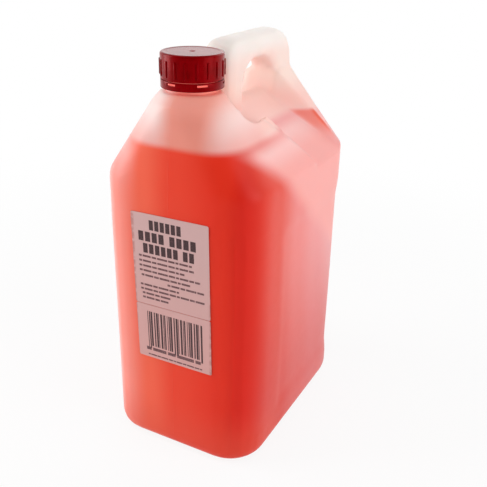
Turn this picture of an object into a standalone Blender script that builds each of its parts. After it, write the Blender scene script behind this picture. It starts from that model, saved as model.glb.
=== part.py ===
"""Five litre hand soap refill can with a hollow handle and a screw cap.

Metres, +Z up. The origin is on the floor under the middle of the can.
The label side faces -Y, and the handle runs along Y.
"""
import math

import bmesh
import bpy
from mathutils import Matrix, Vector

# Can: outside sizes
BODY_WIDTH = 0.1283
BODY_DEPTH = 0.1808
SHOULDER_HEIGHT = 0.2192
RIDGE_WIDTH = 0.0285
FRONT_LEAN = 0.0180
REAR_LEAN = 0.0104
CORNER_RADIUS = 0.0293
BASE_EDGE_RADIUS = 0.0091
WALL = 0.0010

# Neck
NECK_SETBACK = 0.0331
NECK_Y = NECK_SETBACK - BODY_DEPTH / 2.0
NECK_HEIGHT = 0.3013
NECK_LENGTH = 0.0220
NECK_BASE_HEIGHT = NECK_HEIGHT - NECK_LENGTH
NECK_BASE_RADIUS = 0.0217
NECK_FOOT_RADIUS = 0.0278
NECK_FOOT_DROP = 0.0068
NECK_FOOT_HEIGHT = NECK_BASE_HEIGHT - NECK_FOOT_DROP
NECK_POST_RADIUS = 0.0245
NECK_POST_SINK = 0.0006
NECK_RADIUS = 0.0178
NECK_BORE_RADIUS = 0.0155
BEAD_RADIUS = 0.0196
BEAD_WIDTH = 0.0014

# Can: roof, its ridge just under the neck's foot, and the shoulder round the neck
ROOF_DROP = 0.0031
ROOF_RISE = NECK_BASE_HEIGHT - ROOF_DROP - SHOULDER_HEIGHT
NECK_SHOULDER_DEPTH = 0.0753
NECK_SHOULDER_REAR = NECK_Y + NECK_SHOULDER_DEPTH
SHOULDER_SINK = 0.0002

# Can: pushed-up middle of the base
BASE_RING_WIDTH = 0.010
BASE_PUSH_UP = 0.0025

# Can: side and rear panel, set back from the shoulder and the foot
PANEL_DEPTH = 0.0012
PANEL_BOTTOM = 0.0273
PANEL_TOP = 0.1818
PANEL_SETBACK = 0.0540
PANEL_FRONT = PANEL_SETBACK - BODY_DEPTH / 2.0

# Handle: a hollow bar along Y on two posts
HANDLE_WIDTH = 0.0252
HANDLE_RISE = 0.0070
HANDLE_TOP = NECK_HEIGHT + HANDLE_RISE
HANDLE_NECK_SPACE = 0.0290
HANDLE_FRONT = NECK_Y + HANDLE_NECK_SPACE
HANDLE_SETBACK = 0.0111
HANDLE_REAR = BODY_DEPTH / 2.0 - HANDLE_SETBACK
HANDLE_FRONT_RADIUS = 0.0145
HANDLE_REAR_RADIUS = 0.0265
HANDLE_EDGE_RADIUS = 0.008
BAR_HEIGHT = 0.0195
FRONT_POST_DEPTH = 0.0253
HOLE_FRONT = HANDLE_FRONT + FRONT_POST_DEPTH
REAR_POST_DEPTH = 0.0293
HOLE_REAR = HANDLE_REAR - REAR_POST_DEPTH
HOLE_FRONT_RADIUS = 0.018
HOLE_REAR_RADIUS = 0.022
HOLE_ROUND_SHARE = 0.95

# Can: finger scoops under the handle, and the pocket behind the neck
SADDLE_DROP = 0.0147
SADDLE_HEIGHT = NECK_BASE_HEIGHT - SADDLE_DROP
SADDLE_ROUND = 0.012
SCOOP_SLOPE = 0.78
SCOOP_NECK_SPACE = 0.0498
SCOOP_FRONT = NECK_Y + SCOOP_NECK_SPACE
SCOOP_SETBACK = 0.0368
SCOOP_REAR = HANDLE_REAR - SCOOP_SETBACK
SCOOP_FRONT_SWEEP = 0.72
SCOOP_REAR_SWEEP = 0.80
SCOOP_REAR_DRAFT = 0.30
POCKET_NECK_SPACE = 0.0073
POCKET_FRONT = NECK_Y + POCKET_NECK_SPACE
POCKET_FRONT_HALF_WIDTH = 0.0290
POCKET_WIDEST_SPACE = 0.0223
POCKET_WIDEST = NECK_Y + POCKET_WIDEST_SPACE
POCKET_WIDEST_HALF_WIDTH = 0.0375
POCKET_THROAT_SPACE = 0.0438
POCKET_THROAT = NECK_Y + POCKET_THROAT_SPACE
POCKET_HALF_WIDTH = 0.0312
SCOOP_OVERRUN = 0.006

# Thread on the neck and in the cap
THREAD_PITCH = 0.0042
THREAD_TURNS = 1.5
THREAD_DEPTH = 0.0012
THREAD_ROOT_WIDTH = 0.0020
THREAD_CREST_WIDTH = 0.0010
THREAD_START = 0.0035
THREAD_BITE = 0.0003

# Cap and tamper band
CAP_REACH = 0.0196
CAP_BOTTOM = NECK_HEIGHT - CAP_REACH
CAP_ORIGIN = (0.0, NECK_Y, CAP_BOTTOM)
CAP_HEIGHT = 0.0231
CAP_RADIUS = 0.0215
CAP_TOP_THICKNESS = 0.0016
CAP_EDGE_RADIUS = 0.0016
THREAD_CLEARANCE = 0.0004
RIB_COUNT = 18
RIB_PHASE = math.radians(10.0)
RIB_WIDTH = 0.0016
RIB_HEIGHT = 0.0007
RIB_TOP_GAP = 0.0045
RIB_BOTTOM_GAP = 0.0020
GATE_RADIUS = 0.0020
GATE_DEPTH = 0.0004
BAND_HEIGHT = 0.0055
SCORE_GAP = 0.00035
BAND_CLEARANCE = 0.0005
BAND_LIP_HEIGHT = 0.0018
WINDOW_COUNT = 6
WINDOW_PHASE = math.radians(20.0)
WINDOW_WIDTH = 0.0075
WINDOW_HEIGHT = 0.0013
WINDOW_TOP_GAP = 0.0010
LINER_THICKNESS = 0.0010

# Filling
HEADSPACE_DEPTH = 0.0331
SOAP_LEVEL = NECK_BASE_HEIGHT - HEADSPACE_DEPTH

# Label on the front wall
LABEL_WIDTH = 0.0636
LABEL_TOP_HEIGHT = 0.0722
LABEL_BOTTOM_HEIGHT = 0.0455
LABEL_SPLIT = 0.0004
LABEL_SPLIT_HEIGHT = 0.1252
LABEL_CENTRE_X = 0.0018
LABEL_TILT = math.radians(1.2)
LABEL_CORNER = 0.0012
LABEL_THICKNESS = 0.0003

# Gap between pieces that touch
FIT_GAP = 0.0003

# Shares of a wall's offset by which a sloped or curved surface's edge moves
FOOT_DROP = 0.6
FOOT_DRAW = 0.8
COLLAR_DRAW = 0.7
SHOULDER_DROP = 0.4

# Welding and shading
WELD_DISTANCE = 0.000002
SHARP_ANGLE = math.radians(35.0)

# Facets
CORNER_SEGMENTS = 6
EDGE_SEGMENTS = 3
ARC_SEGMENTS = 4
TURNED_STEPS = 32
CAP_STEPS = 72
THREAD_STEPS_PER_TURN = 32

PIECES = "refill_can"
CUTTERS = "refill_can_cutters"

# Colours as base colour, roughness
MILKY_PLASTIC = ((0.90, 0.62, 0.55, 1.0), 0.35)
RED_SOAP = ((0.80, 0.05, 0.03, 1.0), 0.20)
RED_CAP = ((0.55, 0.02, 0.03, 1.0), 0.30)
PALE_LINER = ((0.90, 0.90, 0.88, 1.0), 0.60)
LABEL_FILM = ((0.62, 0.45, 0.46, 1.0), 0.50)


def clear_scene():
    """Remove every object, and the collections and meshes that are left."""
    for item in list(bpy.data.objects):
        bpy.data.objects.remove(item, do_unlink=True)
    for group in list(bpy.data.collections):
        bpy.data.collections.remove(group)


def collection(name):
    """Return the collection with this name, made if it is missing."""
    found = bpy.data.collections.get(name)
    if found is None:
        found = bpy.data.collections.new(name)
        bpy.context.scene.collection.children.link(found)
    return found


def material(name, finish):
    """Return a Principled material from a colour and a roughness."""
    made = bpy.data.materials.new(name)
    made.use_nodes = True
    shader = made.node_tree.nodes["Principled BSDF"]
    shader.inputs["Base Color"].default_value = finish[0]
    shader.inputs["Roughness"].default_value = finish[1]
    shader.inputs["Metallic"].default_value = 0.0
    made.diffuse_color = finish[0]
    return made


def mesh_object(name, bm):
    """Put a bmesh into a new object among the cutters."""
    mesh = bpy.data.meshes.new(name)
    bmesh.ops.recalc_face_normals(bm, faces=bm.faces)
    bm.to_mesh(mesh)
    bm.free()
    item = bpy.data.objects.new(name, mesh)
    item.hide_render = True
    item.display_type = "WIRE"
    collection(CUTTERS).objects.link(item)
    return item


def settle(item):
    """Replace an object's mesh or curve by its evaluated, welded mesh."""
    graph = bpy.context.evaluated_depsgraph_get()
    mesh = bpy.data.meshes.new_from_object(item.evaluated_get(graph))
    bm = bmesh.new()
    bm.from_mesh(mesh)
    bmesh.ops.remove_doubles(bm, verts=bm.verts, dist=WELD_DISTANCE)
    loose = [edge for edge in bm.edges if not edge.link_faces]
    bmesh.ops.delete(bm, geom=loose, context="EDGES")
    name = item.name
    bm.transform(item.matrix_world)
    bpy.data.objects.remove(item, do_unlink=True)
    return mesh_object(name, bm)


def combine(item, tool, operation):
    """Join, cut or intersect an object with a tool, and remove the tool."""
    step = item.modifiers.new(operation.lower(), "BOOLEAN")
    step.operation = operation
    step.solver = "EXACT"
    step.object = tool
    bpy.context.view_layer.update()
    result = settle(item)
    bpy.data.objects.remove(tool, do_unlink=True)
    return result


def publish(item, name, finish, origin=(0.0, 0.0, 0.0)):
    """Make a built solid a named piece of the can, with its origin at a place."""
    item.data.transform(Matrix.Translation(-Vector(origin)))
    item.location = origin
    collection(CUTTERS).objects.unlink(item)
    collection(PIECES).objects.link(item)
    item.name = name
    item.data.name = name
    item.hide_render = False
    item.display_type = "TEXTURED"
    item.data.materials.clear()
    item.data.materials.append(material(name + "_finish", finish))
    item.data.shade_smooth()
    item.data.set_sharp_from_angle(angle=SHARP_ANGLE)
    return item


def bevel(bm, edges, radius, segments):
    """Round edges of a bmesh to a radius."""
    bmesh.ops.bevel(
        bm,
        geom=edges,
        offset=radius,
        offset_type="OFFSET",
        segments=segments,
        profile=0.5,
        affect="EDGES",
        clamp_overlap=True,
        material=-1,
    )


def box(name, low, high):
    """Make a box between two corners."""
    size = Vector(high) - Vector(low)
    centre = (Vector(high) + Vector(low)) / 2.0
    bm = bmesh.new()
    bmesh.ops.create_cube(
        bm,
        size=1.0,
        matrix=Matrix.Translation(centre) @ Matrix.Diagonal((*size, 1.0)),
    )
    return mesh_object(name, bm)


def vertical_edges(bm):
    """List the edges that run along Z."""
    found = []
    for edge in bm.edges:
        run = edge.verts[0].co - edge.verts[1].co
        if abs(run.z) > 0.99 * run.length:
            found.append(edge)
    return found


def rounded_block(name, width, depth, bottom, top, radius):
    """Make an upright block with rounded vertical corners."""
    bm = bmesh.new()
    centre = Vector((0.0, 0.0, (bottom + top) / 2.0))
    size = Matrix.Diagonal((width, depth, top - bottom, 1.0))
    bmesh.ops.create_cube(bm, size=1.0, matrix=Matrix.Translation(centre) @ size)
    bevel(bm, vertical_edges(bm), radius, CORNER_SEGMENTS)
    return mesh_object(name, bm)


def rounded_outline(corners):
    """Return an outline's points from corners given as (a, b, radius)."""
    points = []
    count = len(corners)
    for index, (a, b, radius) in enumerate(corners):
        here = Vector((a, b))
        if radius <= 0.0:
            points.append(here)
            continue
        before = (Vector(corners[index - 1][:2]) - here).normalized()
        after = (Vector(corners[(index + 1) % count][:2]) - here).normalized()
        half_angle = before.angle(after) / 2.0
        reach = radius / math.tan(half_angle)
        centre = here + (before + after).normalized() * (radius / math.sin(half_angle))
        start = here + before * reach - centre
        sweep = math.pi - 2.0 * half_angle
        turn = 1.0 if before.cross(after) < 0.0 else -1.0
        for step in range(ARC_SEGMENTS + 1):
            angle = turn * sweep * step / ARC_SEGMENTS
            cos_a = math.cos(angle)
            sin_a = math.sin(angle)
            points.append(centre + Vector((
                start.x * cos_a - start.y * sin_a,
                start.x * sin_a + start.y * cos_a,
            )))
    return points


def outline_slab(name, corners, half_thickness, edge_radius, grow, place):
    """Make a flat slab from an outline, with rounded edges and placed by a matrix.

    grow moves the whole surface outwards, or inwards where it is negative.
    """
    data = bpy.data.curves.new(name, "CURVE")
    data.dimensions = "2D"
    data.fill_mode = "BOTH"
    points = rounded_outline(corners)
    spline = data.splines.new("POLY")
    spline.points.add(len(points) - 1)
    for point, place_2d in zip(spline.points, points):
        point.co = (place_2d.x, place_2d.y, 0.0, 1.0)
    spline.use_cyclic_u = True
    data.extrude = half_thickness - edge_radius
    data.bevel_depth = edge_radius + grow
    data.bevel_resolution = 1 if edge_radius > 0.001 else 0
    data.offset = -edge_radius
    item = bpy.data.objects.new(name, data)
    collection(CUTTERS).objects.link(item)
    item.matrix_world = place
    bpy.context.view_layer.update()
    return settle(item)


def turned(name, profile, steps, centre=(0.0, NECK_Y)):
    """Turn a closed profile of (radius, height) points about an upright axis."""
    bm = bmesh.new()
    verts = []
    for radius, height in profile:
        verts.append(bm.verts.new((radius, 0.0, height)))
    edges = []
    for index, vert in enumerate(verts):
        following = verts[(index + 1) % len(verts)]
        edges.append(bm.edges.new((vert, following)))
    mesh = bpy.data.meshes.new(name)
    bm.to_mesh(mesh)
    bm.free()
    item = bpy.data.objects.new(name, mesh)
    collection(CUTTERS).objects.link(item)
    item.location = (centre[0], centre[1], 0.0)
    screw = item.modifiers.new("turn", "SCREW")
    screw.steps = steps
    screw.render_steps = steps
    screw.use_merge_vertices = True
    screw.merge_threshold = 0.00001
    bpy.context.view_layer.update()
    return settle(item)


def plug(name, radius, bottom, top, steps=TURNED_STEPS):
    """Make a solid round plug on the neck's axis."""
    bm = bmesh.new()
    bmesh.ops.create_cone(
        bm,
        cap_ends=True,
        segments=steps,
        radius1=radius,
        radius2=radius,
        depth=top - bottom,
        matrix=Matrix.Translation((0.0, NECK_Y, (bottom + top) / 2.0)),
    )
    return mesh_object(name, bm)


def helix_ridge(name, root_radius, crest_radius, start_height):
    """Make one helical thread ridge on the neck's axis."""
    bite = THREAD_BITE if crest_radius > root_radius else -THREAD_BITE
    half_root = THREAD_ROOT_WIDTH / 2.0
    half_crest = THREAD_CREST_WIDTH / 2.0
    section = (
        (root_radius - bite, start_height - half_root),
        (crest_radius, start_height - half_crest),
        (crest_radius, start_height + half_crest),
        (root_radius - bite, start_height + half_root),
    )
    bm = bmesh.new()
    verts = []
    for radius, height in section:
        verts.append(bm.verts.new((radius, 0.0, height)))
    for index, vert in enumerate(verts):
        bm.edges.new((vert, verts[(index + 1) % len(verts)]))
    mesh = bpy.data.meshes.new(name)
    bm.to_mesh(mesh)
    bm.free()
    item = bpy.data.objects.new(name, mesh)
    collection(CUTTERS).objects.link(item)
    item.location = (0.0, NECK_Y, 0.0)
    screw = item.modifiers.new("helix", "SCREW")
    screw.angle = 2.0 * math.pi * THREAD_TURNS
    screw.screw_offset = THREAD_PITCH * THREAD_TURNS
    screw.steps = round(THREAD_STEPS_PER_TURN * THREAD_TURNS)
    screw.render_steps = screw.steps
    bpy.context.view_layer.update()
    item = settle(item)
    bm = bmesh.new()
    bm.from_mesh(item.data)
    bmesh.ops.holes_fill(bm, edges=bm.edges, sides=4)
    bpy.data.objects.remove(item, do_unlink=True)
    return mesh_object(name, bm)


def roofed_body(name, inset):
    """Make the rounded body and its gabled roof, moved inwards by inset."""
    width = BODY_WIDTH - 2.0 * inset
    depth = BODY_DEPTH - 2.0 * inset
    bm = bmesh.new()
    centre = Vector((0.0, 0.0, (inset + SHOULDER_HEIGHT) / 2.0))
    size = Matrix.Diagonal((width, depth, SHOULDER_HEIGHT - inset, 1.0))
    bmesh.ops.create_cube(bm, size=1.0, matrix=Matrix.Translation(centre) @ size)
    bevel(bm, vertical_edges(bm), CORNER_RADIUS - inset, CORNER_SEGMENTS)
    bottom = min(vert.co.z for vert in bm.verts)
    base_edges = [
        edge for edge in bm.edges
        if all(vert.co.z < bottom + 0.0001 for vert in edge.verts)
    ]
    bevel(bm, base_edges, BASE_EDGE_RADIUS - inset, EDGE_SEGMENTS)
    top_faces = [face for face in bm.faces if face.normal.z > 0.99]
    raised = bmesh.ops.extrude_face_region(bm, geom=top_faces)
    bmesh.ops.delete(bm, geom=top_faces, context="FACES")
    side_slope = ROOF_RISE / ((BODY_WIDTH - RIDGE_WIDTH) / 2.0)
    ridge_half = RIDGE_WIDTH / 2.0 - mitre(side_slope, inset)
    front = -BODY_DEPTH / 2.0 + FRONT_LEAN + mitre(ROOF_RISE / FRONT_LEAN, inset)
    rear = BODY_DEPTH / 2.0 - REAR_LEAN - mitre(ROOF_RISE / REAR_LEAN, inset)
    x_scale = 2.0 * ridge_half / width
    y_scale = (rear - front) / depth
    y_shift = (rear + front) / 2.0
    for vert in raised["geom"]:
        if isinstance(vert, bmesh.types.BMVert):
            vert.co.x *= x_scale
            vert.co.y = vert.co.y * y_scale + y_shift
            vert.co.z += ROOF_RISE - inset
    sloped = [face for face in bm.faces if len(face.verts) == 4]
    bmesh.ops.triangulate(bm, faces=sloped, quad_method="FIXED")
    return mesh_object(name, bm)


def mitre(slope, inset):
    """Return how far a roof's top edge moves in when its planes move by inset."""
    return inset * (math.sqrt(1.0 + slope * slope) - 1.0) / slope


def scoop_cutter(inset):
    """Make the space of both finger scoops, with the walls moved by inset."""
    reach = BODY_WIDTH / 2.0 + SCOOP_OVERRUN
    half_handle = HANDLE_WIDTH / 2.0
    side_run = reach - POCKET_HALF_WIDTH
    front_edge = SCOOP_FRONT + SCOOP_FRONT_SWEEP * side_run
    rear_edge = SCOOP_REAR + SCOOP_REAR_SWEEP * (BODY_WIDTH / 2.0 - half_handle)
    floor = SADDLE_HEIGHT - SCOOP_SLOPE * BODY_WIDTH
    right = [
        (POCKET_FRONT_HALF_WIDTH, POCKET_FRONT, 0.006),
        (POCKET_WIDEST_HALF_WIDTH, POCKET_WIDEST, 0.010),
        (POCKET_HALF_WIDTH, POCKET_THROAT, 0.010),
        (POCKET_HALF_WIDTH, SCOOP_FRONT, 0.002),
        (reach, front_edge, 0.0),
        (reach, rear_edge, 0.0),
        (BODY_WIDTH / 2.0, rear_edge, 0.010),
        (half_handle, SCOOP_REAR, 0.010),
    ]
    left = [(-x, y, radius) for x, y, radius in reversed(right)]
    top = HANDLE_TOP + BAR_HEIGHT
    half_height = (top - floor) / 2.0
    upright = Matrix.Translation((0.0, 0.0, floor + half_height))
    plan = outline_slab("scoop_plan", right + left, half_height, 0.0, 0.0, upright)
    for vert in plan.data.vertices:
        if vert.co.y > SCOOP_REAR - 0.001:
            vert.co.y += SCOOP_REAR_DRAFT * (vert.co.z - SADDLE_HEIGHT)
    plan = grown(plan, inset)
    drop = inset * math.sqrt(1.0 + SCOOP_SLOPE ** 2)
    far = reach * 1.2
    roof_gap = [
        (-far, SADDLE_HEIGHT - SCOOP_SLOPE * far - drop, 0.0),
        (0.0, SADDLE_HEIGHT + SADDLE_ROUND * 0.2 - drop, SADDLE_ROUND + inset),
        (far, SADDLE_HEIGHT - SCOOP_SLOPE * far - drop, 0.0),
        (far, top * 1.1, 0.0),
        (-far, top * 1.1, 0.0),
    ]
    along_y = Matrix.Rotation(math.radians(90.0), 4, "X")
    gap = outline_slab("scoop_gap", roof_gap, BODY_DEPTH, 0.0, 0.0, along_y)
    return combine(plan, gap, "INTERSECT")


def grown(item, distance):
    """Move an upright prism's side walls outwards by a distance."""
    if distance <= 0.0:
        return item
    bm = bmesh.new()
    bm.from_mesh(item.data)
    bmesh.ops.recalc_face_normals(bm, faces=bm.faces)
    moves = {}
    for vert in bm.verts:
        walls = []
        for face in vert.link_faces:
            if abs(face.normal.z) < 0.9:
                flat = Vector((face.normal.x, face.normal.y, 0.0)).normalized()
                if all(flat.dot(other) < 0.9999 for other in walls):
                    walls.append(flat)
        total = sum(walls, Vector((0.0, 0.0, 0.0)))
        if total.length > 0.0:
            direction = total.normalized()
            share = max(direction.dot(walls[0]), 0.3)
            moves[vert] = direction * (distance / share)
    for vert, move in moves.items():
        vert.co += move
    name = item.name
    bpy.data.objects.remove(item, do_unlink=True)
    return mesh_object(name, bm)


def handle_arch(inset):
    """Make the handle's bar and posts, moved inwards by inset."""
    foot = SADDLE_HEIGHT - HANDLE_WIDTH
    rear_foot = HANDLE_REAR + FIT_GAP
    hole_corners = HOLE_FRONT_RADIUS + HOLE_REAR_RADIUS
    room = min(1.0, HOLE_ROUND_SHARE * (HOLE_REAR - HOLE_FRONT) / hole_corners)
    corners = [
        (HANDLE_FRONT, foot, 0.0),
        (HANDLE_FRONT, HANDLE_TOP, HANDLE_FRONT_RADIUS),
        (HANDLE_REAR, HANDLE_TOP, HANDLE_REAR_RADIUS),
        (rear_foot, foot, 0.0),
        (HOLE_REAR, foot, 0.0),
        (HOLE_REAR, HANDLE_TOP - BAR_HEIGHT, HOLE_REAR_RADIUS * room),
        (HOLE_FRONT, HANDLE_TOP - BAR_HEIGHT, HOLE_FRONT_RADIUS * room),
        (HOLE_FRONT, foot, 0.0),
    ]
    stand = Matrix(((0, 0, 1, 0), (1, 0, 0, 0), (0, 1, 0, 0), (0, 0, 0, 1)))
    return outline_slab(
        "arch", corners, HANDLE_WIDTH / 2.0, HANDLE_EDGE_RADIUS, -inset, stand
    )


def neck_shoulder(inset):
    """Make the convex shoulder that narrows from the front walls to the neck."""
    bottom = SHOULDER_HEIGHT - CORNER_RADIUS
    block = rounded_block(
        "neck_shoulder",
        BODY_WIDTH - 2.0 * (inset + SHOULDER_SINK),
        BODY_DEPTH - 2.0 * (inset + SHOULDER_SINK),
        bottom,
        SHOULDER_HEIGHT - inset * SHOULDER_DROP,
        CORNER_RADIUS - inset - SHOULDER_SINK,
    )
    bm = bmesh.new()
    bm.from_mesh(block.data)
    bpy.data.objects.remove(block, do_unlink=True)
    bmesh.ops.bisect_plane(
        bm,
        geom=bm.verts[:] + bm.edges[:] + bm.faces[:],
        plane_co=(0.0, NECK_SHOULDER_REAR - inset, 0.0),
        plane_no=(0.0, 1.0, 0.0),
        clear_outer=True,
    )
    rings = (
        (NECK_FOOT_RADIUS - inset * FOOT_DRAW, NECK_FOOT_HEIGHT - inset * FOOT_DROP),
        (NECK_BASE_RADIUS - inset * COLLAR_DRAW, NECK_BASE_HEIGHT - inset),
    )
    for radius, height in rings:
        bmesh.ops.create_circle(
            bm,
            segments=TURNED_STEPS,
            radius=radius,
            matrix=Matrix.Translation((0.0, NECK_Y, height)),
        )
    bmesh.ops.delete(bm, geom=bm.edges[:], context="EDGES_FACES")
    hull = bmesh.ops.convex_hull(bm, input=bm.verts[:])
    bmesh.ops.delete(bm, geom=hull["geom_interior"], context="VERTS")
    return mesh_object("neck_shoulder", bm)


def neck_post(inset):
    """Make the round post under the neck, which the finger pocket passes behind."""
    top = NECK_BASE_HEIGHT - inset - NECK_POST_SINK
    profile = [
        (0.0, top),
        (0.0, SHOULDER_HEIGHT),
        (NECK_POST_RADIUS - inset, SHOULDER_HEIGHT),
        (NECK_POST_RADIUS - inset, NECK_FOOT_HEIGHT - inset * FOOT_DROP),
        (NECK_BASE_RADIUS - 2.0 * NECK_POST_SINK - inset * COLLAR_DRAW, top),
    ]
    return turned("neck_post", profile, TURNED_STEPS)


def panel_cutter(inset):
    """Make what is cut off the sides and the rear to set the panel back."""
    far = BODY_DEPTH
    frame = box(
        "panel_frame",
        (-far, PANEL_FRONT - inset, PANEL_BOTTOM - inset),
        (far, far, PANEL_TOP + inset),
    )
    shrink = 2.0 * (PANEL_DEPTH + inset)
    core = rounded_block(
        "panel_core",
        BODY_WIDTH - shrink,
        BODY_DEPTH - shrink,
        PANEL_BOTTOM - CORNER_RADIUS,
        PANEL_TOP + CORNER_RADIUS,
        CORNER_RADIUS - PANEL_DEPTH - inset,
    )
    return combine(frame, core, "DIFFERENCE")


def base_cutter(inset):
    """Make the shallow hollow in the middle of the base."""
    ring = 2.0 * (BASE_EDGE_RADIUS + BASE_RING_WIDTH - inset)
    return rounded_block(
        "base_hollow",
        BODY_WIDTH - ring,
        BODY_DEPTH - ring,
        -BASE_PUSH_UP,
        BASE_PUSH_UP + inset,
        CORNER_RADIUS - BASE_EDGE_RADIUS,
    )


def skin(name, inset):
    """Make the can's closed skin without its neck, moved inwards by inset."""
    solid = roofed_body(name, inset)
    solid = combine(solid, neck_shoulder(inset), "UNION")
    solid = combine(solid, scoop_cutter(inset), "DIFFERENCE")
    solid = combine(solid, neck_post(inset), "UNION")
    solid = combine(solid, handle_arch(inset), "UNION")
    solid = combine(solid, panel_cutter(inset), "DIFFERENCE")
    solid = combine(solid, base_cutter(inset), "DIFFERENCE")
    solid.name = name
    return solid


def neck_finish():
    """Make the neck above its foot, with its bead and thread."""
    bead_top = CAP_BOTTOM + BAND_HEIGHT
    bead_low = bead_top - BEAD_WIDTH
    buried = NECK_BASE_HEIGHT - 0.006
    profile = [
        (0.0, NECK_HEIGHT),
        (0.0, buried),
        (NECK_RADIUS, buried),
        (NECK_RADIUS, bead_low - BEAD_WIDTH),
        (BEAD_RADIUS, bead_low),
        (BEAD_RADIUS, bead_top - BEAD_WIDTH / 3.0),
        (NECK_RADIUS, bead_top),
        (NECK_RADIUS, NECK_HEIGHT - THREAD_BITE),
        (NECK_RADIUS - THREAD_BITE, NECK_HEIGHT),
    ]
    neck = turned("neck_finish", profile, TURNED_STEPS)
    ridge = helix_ridge(
        "neck_thread", NECK_RADIUS, NECK_RADIUS + THREAD_DEPTH, bead_top + THREAD_START
    )
    return combine(neck, ridge, "UNION")


def build_bottle():
    """Make the moulded can with its inner wall and open neck."""
    can = skin("bottle", 0.0)
    can = combine(can, neck_finish(), "UNION")
    cavity = skin("cavity", WALL)
    bore = plug(
        "neck_bore", NECK_BORE_RADIUS, NECK_BASE_HEIGHT - 0.010, NECK_HEIGHT + CAP_HEIGHT
    )
    cavity = combine(cavity, bore, "UNION")
    can = combine(can, cavity, "DIFFERENCE")
    return publish(can, "bottle", MILKY_PLASTIC)


def build_soap():
    """Make the filling, clear of the inner wall and flat at its level."""
    soap = skin("liquid_soap", WALL + FIT_GAP)
    air = box(
        "air_space",
        (-BODY_WIDTH, -BODY_DEPTH, SOAP_LEVEL),
        (BODY_WIDTH, BODY_DEPTH, HANDLE_TOP * 1.2),
    )
    soap = combine(soap, air, "DIFFERENCE")
    return publish(soap, "liquid_soap", RED_SOAP)


def build_cap():
    """Make the screw cap with its ribs, gate dimple and thread."""
    bottom = CAP_BOTTOM + BAND_HEIGHT + SCORE_GAP
    top = CAP_BOTTOM + CAP_HEIGHT
    inner_radius = NECK_RADIUS + THREAD_DEPTH + THREAD_CLEARANCE
    ceiling = top - CAP_TOP_THICKNESS
    profile = [
        (0.0, top),
        (0.0, ceiling),
        (inner_radius, ceiling),
        (inner_radius, bottom),
        (CAP_RADIUS, bottom),
        (CAP_RADIUS, top - CAP_EDGE_RADIUS),
        (CAP_RADIUS - CAP_EDGE_RADIUS * 0.3, top - CAP_EDGE_RADIUS * 0.3),
        (CAP_RADIUS - CAP_EDGE_RADIUS, top),
    ]
    cap = turned("cap", profile, CAP_STEPS)
    ribs = None
    for index in range(RIB_COUNT):
        ribs = rib(index, ribs, bottom, top)
    cap = combine(cap, ribs, "UNION")
    cap = combine(
        cap, plug("gate", GATE_RADIUS, top - GATE_DEPTH, top + CAP_HEIGHT, 16), "DIFFERENCE"
    )
    ridge = helix_ridge(
        "cap_thread",
        inner_radius,
        inner_radius - THREAD_DEPTH,
        CAP_BOTTOM + BAND_HEIGHT + THREAD_START - THREAD_PITCH / 2.0,
    )
    cap = combine(cap, ridge, "UNION")
    return publish(cap, "cap", RED_CAP, CAP_ORIGIN)


def rib(index, ribs, bottom, top):
    """Make one grip rib and join it to the ribs made before it."""
    angle = RIB_PHASE + 2.0 * math.pi * index / RIB_COUNT
    reach = RIB_HEIGHT * 2.0
    low = bottom + RIB_BOTTOM_GAP
    high = top - RIB_TOP_GAP
    item = box(
        "ribs",
        (CAP_RADIUS + RIB_HEIGHT - reach, -RIB_WIDTH / 2.0, low),
        (CAP_RADIUS + RIB_HEIGHT, RIB_WIDTH / 2.0, high),
    )
    item.data.transform(
        Matrix.Translation((0.0, NECK_Y, 0.0)) @ Matrix.Rotation(angle, 4, "Z")
    )
    if ribs is None:
        return item
    return combine(ribs, item, "UNION")


def build_tamper_band():
    """Make the band under the cap, with its lip under the neck's bead."""
    top = CAP_BOTTOM + BAND_HEIGHT
    inner_radius = BEAD_RADIUS + BAND_CLEARANCE
    lip_radius = NECK_RADIUS + BAND_CLEARANCE
    lip_top = CAP_BOTTOM + BAND_LIP_HEIGHT
    profile = [
        (CAP_RADIUS, top),
        (inner_radius, top),
        (inner_radius, lip_top),
        (lip_radius, lip_top),
        (inner_radius, CAP_BOTTOM),
        (CAP_RADIUS, CAP_BOTTOM),
    ]
    band = turned("tamper_band", profile, CAP_STEPS)
    high = top - WINDOW_TOP_GAP
    windows = None
    for index in range(WINDOW_COUNT // 2):
        angle = WINDOW_PHASE + math.pi * index / (WINDOW_COUNT // 2)
        item = box(
            "windows",
            (-CAP_RADIUS * 2.0, -WINDOW_WIDTH / 2.0, high - WINDOW_HEIGHT),
            (CAP_RADIUS * 2.0, WINDOW_WIDTH / 2.0, high),
        )
        item.data.transform(
            Matrix.Translation((0.0, NECK_Y, 0.0)) @ Matrix.Rotation(angle, 4, "Z")
        )
        windows = item if windows is None else combine(windows, item, "UNION")
    band = combine(band, windows, "DIFFERENCE")
    return publish(band, "tamper_band", RED_CAP, CAP_ORIGIN)


def build_liner():
    """Make the sealing disc between the rim and the cap."""
    low = NECK_HEIGHT + FIT_GAP
    disc = plug("cap_liner", NECK_RADIUS - FIT_GAP, low, low + LINER_THICKNESS)
    return publish(disc, "cap_liner", PALE_LINER, CAP_ORIGIN)


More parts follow.
